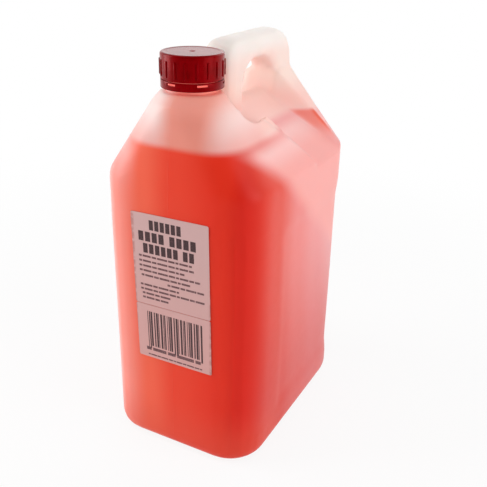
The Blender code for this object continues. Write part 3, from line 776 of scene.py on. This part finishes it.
@dataclass
class CanSkin:
    """The blow moulded can up to its neck, with soft moulded radii and walls bowed by the soap."""

    weld: float = 0.00001
    neck_zone: float = 0.0219
    cut_height: float = 0.2795
    cut_margin: float = 0.002
    voxel: float = 0.0016
    softening: int = 7
    shoulder_softening: int = 24
    shoulder_zone: Zone = (0.190, 0.266)
    shoulder_rear: float = -0.028
    shoulder_fade: float = 0.010
    panel_softening: int = 30
    panel_zone: Zone = (0.020, 0.190)
    panel_rear: float = 0.076
    wall_share: float = 0.9
    bow: float = 0.0008
    rear_bow_share: float = 0.6
    bow_middle: float = 0.105
    bow_reach: float = 0.085

    def build(self, node: Piece, finish: Material) -> Piece:
        """Make the skin from a merged copy of the CAD can.

        Args:
            node: The CAD node, which is left as it is.
            finish: The skin's material.

        Returns:
            The skin.
        """
        bm = bmesh.new()
        bm.from_mesh(node.data)
        bmesh.ops.remove_doubles(bm, verts=bm.verts, dist=self.weld)
        self.open_neck(bm)
        self.keep_outside(bm)
        bm = self.moulded(bm)
        self.soften_shoulder(bm)
        self.soften_panels(bm)
        self.bow_walls(bm)
        return mesh_piece("can_skin", bm, finish, 120.0)

    def open_neck(self, bm: Mesh) -> None:
        """Cut the neck off above its foot, which parts the outer wall from the inner one."""
        faces = []
        for face in bm.faces:
            middle = face.calc_center_median()
            off_axis = math.hypot(middle.x, middle.y - NECK_Y)
            if middle.z > self.cut_height - self.cut_margin and off_axis < self.neck_zone:
                faces.append(face)
        edges = {edge for face in faces for edge in face.edges}
        verts = {vert for face in faces for vert in face.verts}
        bmesh.ops.bisect_plane(
            bm,
            geom=faces + list(edges) + list(verts),
            plane_co=(0.0, 0.0, self.cut_height),
            plane_no=UP,
            clear_outer=True,
        )

    def keep_outside(self, bm: Mesh) -> None:
        """Keep the outer wall alone, and close it over the neck."""
        start = min(bm.verts, key=lambda vert: vert.co.z)
        outer = {start}
        waiting = [start]
        while waiting:
            for edge in waiting.pop().link_edges:
                for vert in edge.verts:
                    if vert not in outer:
                        outer.add(vert)
                        waiting.append(vert)
        inner = [vert for vert in bm.verts if vert not in outer]
        bmesh.ops.delete(bm, geom=inner, context="VERTS")
        rim = [edge for edge in bm.edges if edge.is_boundary]
        bmesh.ops.holes_fill(bm, edges=rim, sides=0)
        bmesh.ops.recalc_face_normals(bm, faces=bm.faces)

    def moulded(self, bm: Mesh) -> Mesh:
        """Give the closed wall even small faces and round its edges as blow moulding does."""
        mesh = bpy.data.meshes.new("can_form")
        bm.to_mesh(mesh)
        bm.free()
        form = bpy.data.objects.new("can_form", mesh)
        bpy.context.scene.collection.objects.link(form)
        even = form.modifiers.new("even_faces", "REMESH")
        even.mode = "VOXEL"
        even.voxel_size = self.voxel
        soft = form.modifiers.new("moulded_radii", "SMOOTH")
        soft.factor = 0.5
        soft.iterations = self.softening
        return evaluated(form)

    def soften_shoulder(self, bm: Mesh) -> None:
        """Round the front shoulder further, where the soft wall flares out below the neck."""
        low, high = self.shoulder_zone
        zone = [vert for vert in bm.verts if low < vert.co.z < high]
        steps = self.shoulder_softening
        for step in range(steps):
            rear = self.shoulder_rear + self.shoulder_fade * (1.0 - 2.0 * step / steps)
            self.relax(bm, [vert for vert in zone if vert.co.y < rear])

    def soften_panels(self, bm: Mesh) -> None:
        """Blur the set-back edges of the side panels, which barely show in the soft wall."""
        low, high = self.panel_zone
        wide = self.wall_share * HALF_WIDTH
        zone = [vert for vert in bm.verts if low < vert.co.z < high and abs(vert.co.x) > wide]
        zone = [vert for vert in zone if vert.co.y < self.panel_rear]
        for _ in range(self.panel_softening):
            self.relax(bm, zone)

    def relax(self, bm: Mesh, verts: Verts) -> None:
        """Move vertices half way to the middle of their neighbours."""
        axes = {f"use_axis_{axis}": True for axis in "xyz"}
        bmesh.ops.smooth_vert(bm, verts=verts, factor=0.5, **axes)

    def fade(self, share: float) -> float:
        """Return the share of the bow at a share of a wall's half length."""
        return max(0.0, 1.0 - share * share) ** 1.5

    def bow_walls(self, bm: Mesh) -> None:
        """Push the side and rear walls out a little, as the weight of the soap does."""
        for vert in bm.verts:
            across = vert.co.x / HALF_WIDTH
            along = vert.co.y / HALF_DEPTH
            height = (vert.co.z - self.bow_middle) / self.bow_reach
            if abs(height) >= 1.0:
                continue
            bow = self.bow * (1.0 - height * height) ** 2
            if abs(across) > self.wall_share:
                vert.co.x += math.copysign(bow, across) * self.fade(along)
            elif along > self.wall_share:
                vert.co.y += bow * self.rear_bow_share * self.fade(across)


@dataclass
class Neck:
    """The neck with its bore, bead and thread, moulded with the can."""

    foot: float = 0.2740
    rim: float = 0.3013
    radius: float = 0.0178
    bore: float = 0.0155
    bead_radius: float = 0.0196
    bead_width: float = 0.0014
    corner: float = 0.0004
    thread_gap: float = 0.0035
    steps: int = 128

    def build(self, finish: Material) -> Piece:
        """Make the neck and return it."""
        bm = bmesh.new()
        bead_low = BEAD_TOP - self.bead_width
        profile = [
            (self.bore, self.foot),
            (self.radius, self.foot),
            (self.radius, bead_low - self.bead_width),
            (self.bead_radius, bead_low),
            (self.bead_radius, BEAD_TOP - self.bead_width / 3.0),
            (self.radius, BEAD_TOP),
            (self.radius, self.rim),
            (self.bore, self.rim),
        ]
        spun(bm, rounded(profile, self.corner), self.steps)
        crest = self.radius + THREAD_DEPTH
        thread_ridge(bm, self.radius - THREAD_ROOT, crest, BEAD_TOP + self.thread_gap)
        bmesh.ops.translate(bm, verts=bm.verts, vec=(0.0, NECK_Y, 0.0))
        return mesh_piece("can_neck", bm, finish)


@dataclass
class ScrewCap:
    """The ribbed cap with its low top rim, gate dimple and inner thread."""

    bottom: float = 0.28755
    top: float = 0.3048
    skirt: float = 0.0194
    roof: float = 0.0016
    edge: float = 0.0016
    edge_steps: int = 6
    chamfer: float = 0.0003
    dish_depth: float = 0.00025
    gate: float = 0.0020
    gate_depth: float = 0.0005
    rib_count: int = 18
    rib_phase: float = 10.0
    rib_width: float = 0.0014
    rib_height: float = 0.0007
    rib_edge: float = 0.00045
    rib_top_gap: float = 0.0045
    rib_bottom_gap: float = 0.0020
    thread_start: float = 0.2886
    steps: int = 180

    def build(self, finish: Material) -> Piece:
        """Make the cap and return it."""
        bm = bmesh.new()
        self.shell(bm)
        for index in range(self.rib_count):
            self.rib(bm, self.rib_phase + 360.0 * index / self.rib_count)
        crest = self.skirt - THREAD_DEPTH
        thread_ridge(bm, self.skirt + THREAD_ROOT, crest, self.thread_start)
        bmesh.ops.translate(bm, verts=bm.verts, vec=(0.0, NECK_Y, 0.0))
        return mesh_piece("screw_cap", bm, finish, 40.0)

    def shell(self, bm: Mesh) -> None:
        """Turn the cap's wall, its rounded top edge, the shallow dish and the gate dimple."""
        dish = self.top - self.dish_depth
        profile: Profile = [
            (0.0, dish - self.gate_depth),
            (self.gate * 0.55, dish - self.gate_depth),
            (self.gate, dish - self.gate_depth / 5.0),
            (self.gate * 1.25, dish),
            (self.gate * 1.45, dish),
            (CAP_RADIUS - 2.6 * self.edge, dish),
            (CAP_RADIUS - 2.1 * self.edge, dish),
            (CAP_RADIUS - 1.6 * self.edge, self.top - 0.00003),
        ]
        for step in range(self.edge_steps + 1):
            angle = math.radians(90.0 * (1.0 - step / self.edge_steps))
            profile.append((
                CAP_RADIUS - self.edge * (1.0 - math.cos(angle)),
                self.top - self.edge * (1.0 - math.sin(angle)),
            ))
        profile += [
            (CAP_RADIUS, self.bottom + self.chamfer),
            (CAP_RADIUS - self.chamfer, self.bottom),
            (self.skirt + self.chamfer, self.bottom),
            (self.skirt, self.bottom + self.chamfer),
            (self.skirt, self.top - self.roof),
            (0.0, self.top - self.roof),
        ]
        spun(bm, profile, self.steps, closed=False)

    def rib(self, bm: Mesh, angle: float) -> None:
        """Add one rounded grip rib at an angle in degrees round the cap."""
        half = self.rib_width / 2.0
        low = Vector((CAP_RADIUS - self.rib_height, -half, self.bottom + self.rib_bottom_gap))
        high = Vector((CAP_RADIUS + self.rib_height, half, self.top - self.rib_top_gap))
        turn(bm, cube(bm, low, high, self.rib_edge), angle)


@dataclass
class TamperBand:
    """The ring under the cap, with windows that show the pale neck behind it."""

    bore: float = 0.0201
    lip: float = 0.0183
    lip_top: float = 0.2835
    corner: float = 0.0003
    window_count: int = 6
    window_phase: float = 20.0
    window_width: float = 0.0075
    window_height: float = 0.0014
    window_top_gap: float = 0.0010
    steps: int = 180

    def build(self, finish: Material) -> Piece:
        """Make the band and return it."""
        bm = bmesh.new()
        profile = [
            (CAP_RADIUS, BEAD_TOP),
            (self.bore, BEAD_TOP),
            (self.bore, self.lip_top),
            (self.lip, self.lip_top),
            (self.bore, BAND_BOTTOM),
            (CAP_RADIUS, BAND_BOTTOM),
        ]
        spun(bm, rounded(profile, self.corner), self.steps)
        band = mesh_piece("band_ring", bm, finish)
        cutter = mesh_piece("band_windows", self.windows(), finish)
        cut = band.modifiers.new("windows", "BOOLEAN")
        cut.operation = "DIFFERENCE"
        cut.solver = "EXACT"
        cut.object = cutter
        bm = evaluated(band)
        discard(cutter)
        bmesh.ops.translate(bm, verts=bm.verts, vec=(0.0, NECK_Y, 0.0))
        return mesh_piece("tear_band", bm, finish)

    def windows(self) -> Mesh:
        """Return the boxes that the windows are cut with."""
        bm = bmesh.new()
        half = self.window_width / 2.0
        top = BEAD_TOP - self.window_top_gap
        low = Vector((self.lip, -half, top - self.window_height))
        high = Vector((CAP_RADIUS * 1.2, half, top))
        for index in range(self.window_count):
            angle = self.window_phase + 360.0 * index / self.window_count
            turn(bm, cube(bm, low, high), angle)
        return bm


@dataclass
class LabelPrint:
    """Greeked print on the label: rows of plain blocks and a bar pattern that say nothing.

    A row's first three numbers are its drop below the top of its part of the label, as a share of
    that part's height, and its left and right ends, as shares of the label's width.
    """

    face_y: float = -0.0910
    split_height: float = 0.1252
    tilt: float = math.radians(1.2)
    width: float = 0.0636
    upper_top: float = 0.0724
    upper_height: float = 0.0722
    lower_height: float = 0.0455
    ink: float = 0.00008
    heading_rows: tuple[tuple[float, float, float, tuple[int, ...]], ...] = (
        (0.062, 0.24, 0.67, (6,)),
        (0.190, 0.09, 0.86, (4, 4)),
        (0.316, 0.145, 0.83, (6, 2)),
    )
    heading_height: float = 0.0074
    block_share: float = 0.74
    word_gap: float = 0.6
    fine_rows: tuple[Place, ...] = (
        (0.446, 0.08, 0.78),
        (0.500, 0.08, 0.81),
        (0.553, 0.08, 0.68),
        (0.606, 0.08, 0.88),
        (0.659, 0.10, 0.78),
        (0.713, 0.45, 0.94),
        (0.766, 0.08, 0.60),
        (0.815, 0.08, 0.93),
        (0.863, 0.10, 0.48),
        (0.911, 0.10, 0.45),
    )
    fine_height: float = 0.0015
    fine_gap: float = 0.55
    shortest_word: float = 1.6
    lower_rows: tuple[tuple[float, float, float, int, float], ...] = (
        (0.806, 0.11, 0.86, 11, 0.0026),
        (0.936, 0.13, 0.88, 14, 0.0011),
    )
    bars_drop: float = 0.125
    bars_height: float = 0.650
    bars_left: float = 0.145
    bars_right: float = 0.890
    bar_unit: float = 0.00048
    guard_length: float = 0.0022

    def build(self, heading: Material, fine: Material) -> list[Piece]:
        """Make the print.

        Args:
            heading: The dense ink of the large rows and the bars.
            fine: The ink of the small rows.

        Returns:
            The two printed pieces.
        """
        dense = bmesh.new()
        for row in self.heading_rows:
            self.heading(dense, *row)
        self.bars(dense)
        light = bmesh.new()
        for rule, (drop, start, end) in enumerate(self.fine_rows):
            top = self.upper_top - drop * self.upper_height
            self.fine(light, rule, top, start, end, self.fine_height)
        for drop, start, end, rule, height in self.lower_rows:
            self.fine(light, rule, -drop * self.lower_height, start, end, height)
        middle = Matrix.Translation((LABEL_X, self.face_y, self.split_height))
        place = middle @ Matrix.Rotation(-self.tilt, 4, "Y")
        pieces = []
        for name, bm, ink in (("print_heading", dense, heading), ("print_fine", light, fine)):
            bm.transform(place)
            pieces.append(mesh_piece(name, bm, ink))
        return pieces

    def block(self, bm: Mesh, left: float, right: float, top: float, height: float) -> None:
        """Add one printed block, placed in metres from the label's middle and split line."""
        cube(bm, Vector((left, -self.ink, top - height)), Vector((right, self.ink, top)))

    def across(self, share: float) -> float:
        """Return a place across the label in metres from a share of its width."""
        return (share - 0.5) * self.width

    def heading(
        self, bm: Mesh, drop: float, start: float, end: float, words: tuple[int, ...]
    ) -> None:
        """Add one large row of blocks in words.

        Args:
            bm: The mesh that the row is added to.
            drop: How far down the row's top is.
            start: The row's left end.
            end: The row's right end.
            words: The number of blocks in each word.
        """
        gaps = (len(words) - 1) * self.word_gap
        pitch = (end - start) * self.width / (sum(words) + gaps)
        left = self.across(start)
        top = self.upper_top - drop * self.upper_height
        for word in words:
            for _ in range(word):
                self.block(bm, left, left + pitch * self.block_share, top, self.heading_height)
                left += pitch
            left += pitch * self.word_gap

    def fine(
        self, bm: Mesh, rule: int, top: float, start: float, end: float, height: float
    ) -> None:
        """Add one small row, cut into word lengths by a plain rule.

        Args:
            bm: The mesh that the row is added to.
            rule: The number that sets the row's word lengths.
            top: The row's top, in metres from the split line.
            start: The row's left end.
            end: The row's right end.
            height: The height of the blocks.
        """
        left = self.across(start)
        finish = self.across(end)
        count = 0
        while left < finish - height:
            length = height * (self.shortest_word + (rule * 5 + count * 3) % 5)
            right = min(left + length, finish)
            self.block(bm, left, right, top, height)
            left = right + height * self.fine_gap
            count += 1

    def bars(self, bm: Mesh) -> None:
        """Add a field of upright bars whose widths follow a plain rule."""
        top = -self.bars_drop * self.lower_height
        height = self.bars_height * self.lower_height
        left = self.across(self.bars_left)
        finish = self.across(self.bars_right)
        count = 0
        while left < finish:
            width = self.bar_unit * (1.0 + (count * 7 + count // 3) % 3)
            guard = self.guard_length if count % 12 < 2 else 0.0
            self.block(bm, left, min(left + width, finish), top, height + guard)
            left += width + self.bar_unit * (1.0 + (count * 5 + 1) % 3)
            count += 1


@dataclass
class Lamp:
    """A soft lamp that faces the can."""

    name: str
    place: Place
    width: float
    height: float
    watts: float
    aim: Place = (0.0, 0.0, 0.15)

    def build(self) -> None:
        """Make the lamp."""
        light = bpy.data.lights.new(self.name, "AREA")
        light.shape = "RECTANGLE"
        light.size = self.width
        light.size_y = self.height
        light.energy = self.watts
        lamp = bpy.data.objects.new(self.name, light)
        lamp.location = self.place
        aim = Vector(self.aim) - Vector(self.place)
        lamp.rotation_euler = aim.to_track_quat("-Z", "Y").to_euler()
        bpy.context.scene.collection.objects.link(lamp)


@dataclass
class Studio:
    """White floor and room, soft lamps and the photograph's camera."""

    lens: float = 51.775
    yaw: float = 0.479586
    pitch: float = 0.429900
    roll: float = 0.021499
    eye: Place = (0.249697, -0.458440, 0.382164)
    floor_reach: float = 6.0
    world_seen: float = 1.0
    world_light: float = 0.42
    rear_side: Place = (-0.478, 0.878, 0.0)
    rear_zone: Zone = (-0.20, 0.50)
    mirrored: Zone = (0.10, 0.85)
    lamps: list[Lamp] = field(default_factory=lambda: [
        Lamp("rear_wall", (-0.70, 1.25, 0.52), 1.2, 0.4, 0.8),
        Lamp("rear_box", (0.15, 1.25, 0.95), 1.9, 0.8, 4.0),
        Lamp("left_box", (-1.15, -0.55, 0.60), 0.8, 1.1, 11.3),
        Lamp("right_box", (1.20, -0.05, 0.55), 0.8, 1.0, 7.1),
        Lamp("top_box", (0.0, -0.35, 1.35), 0.9, 0.7, 1.5),
    ])

    def build(self, paper: Material) -> None:
        """Make the whole studio."""
        self.floor(paper)
        self.world()
        for lamp in self.lamps:
            lamp.build()
        self.camera()
        bpy.context.scene.view_settings.view_transform = "Standard"

    def floor(self, paper: Material) -> None:
        """Lay the white floor."""
        bm = bmesh.new()
        bmesh.ops.create_grid(bm, x_segments=2, y_segments=2, size=self.floor_reach)
        mesh_piece("floor", bm, paper)

    def world(self) -> None:
        """Light the room evenly, show the camera white and mirror a bright wall behind the can."""
        world = bpy.data.worlds.new("white_room")
        world.use_nodes = True
        bpy.context.scene.world = world
        board = Board(world.node_tree)
        path = board.add("ShaderNodeLightPath")
        facing = board.add("ShaderNodeVectorMath", operation="DOT_PRODUCT")
        board.feed(facing.inputs[0], board.add("ShaderNodeTexCoord").outputs["Generated"])
        board.feed(facing.inputs[1], self.rear_side)
        mirrored = board.rise(facing.outputs["Value"], self.rear_zone, self.mirrored)
        light = board.blend(path.outputs["Is Glossy Ray"], self.world_light, mirrored, "FLOAT")
        light = board.blend(path.outputs["Is Camera Ray"], light, self.world_seen, "FLOAT")
        background = board.nodes["Background"]
        board.feed(background.inputs["Color"], (1.0, 1.0, 1.0, 1.0))
        board.feed(background.inputs["Strength"], light)

    def camera(self) -> None:
        """Set the camera at the photograph's viewing angle."""
        flat = Vector((-math.sin(self.yaw), math.cos(self.yaw), 0.0))
        forward = flat * math.cos(self.pitch) - Vector((0.0, 0.0, math.sin(self.pitch)))
        right = Vector((math.cos(self.yaw), math.sin(self.yaw), 0.0))
        up = right.cross(forward)
        side = right * math.cos(self.roll) + up * math.sin(self.roll)
        top = up * math.cos(self.roll) - right * math.sin(self.roll)
        view = bpy.data.cameras.new("camera")
        view.lens = self.lens
        view.sensor_width = 36.0
        view.clip_start = 0.01
        camera = bpy.data.objects.new("camera", view)
        attitude = Matrix((side, top, -forward)).transposed().to_4x4()
        camera.matrix_world = Matrix.Translation(self.eye) @ attitude
        bpy.context.scene.collection.objects.link(camera)
        bpy.context.scene.camera = camera


def seat(piece: Piece, body: Body, slot: Slot, *nodes: str) -> None:
    """Fix a piece to its body and hide the CAD nodes that it stands for.

    Args:
        piece: The finished piece.
        body: The body that it moves with.
        slot: The record's slot that it stands for; not used.
        nodes: The CAD nodes that it stands for.
    """
    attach(piece, body.value)
    if nodes:
        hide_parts(*nodes)
    LOG.info("%s rides on %s, %d faces", piece.name, body.value, len(piece.data.polygons))


def dress(node: Piece, finish: Material) -> None:
    """Give a CAD node a finished material."""
    node.data.materials.clear()
    node.data.materials.append(finish)
    LOG.info("%s keeps its CAD shape", node.name)


def main() -> None:
    """Build the can's pieces in order, then the studio."""
    logging.basicConfig(level=logging.INFO, format="%(name)s: %(message)s")
    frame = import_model()
    nodes = frame["nodes"]
    milky = MilkyPlastic().build()
    red = RedMoulding().build()
    film = LabelFilm().build()
    heading_ink = Ink("heading_ink", shade(58, 26, 30), shade(92, 54, 58)).build()
    fine_ink = Ink("fine_ink", shade(104, 66, 68), shade(150, 112, 113)).build()

    seat(CanSkin().build(nodes["bottle"], milky), Body.CAN, Slot.SKIN, "bottle")
    seat(Neck().build(milky), Body.CAN, Slot.SKIN, "bottle")
    seat(TamperBand().build(red), Body.CAN, Slot.CAP, "tamper_band")
    seat(ScrewCap().build(red), Body.CAP, Slot.CAP, "cap")
    for piece in LabelPrint().build(heading_ink, fine_ink):
        seat(piece, Body.CAN, Slot.LABEL)
    dress(nodes["liquid_soap"], RedSoap().build())
    dress(nodes["cap_liner"], FoamDisc().build())
    dress(nodes["label_upper"], film)
    dress(nodes["label_lower"], film)

    Studio().build(Backdrop().build())


if __name__ == "__main__":
    main()
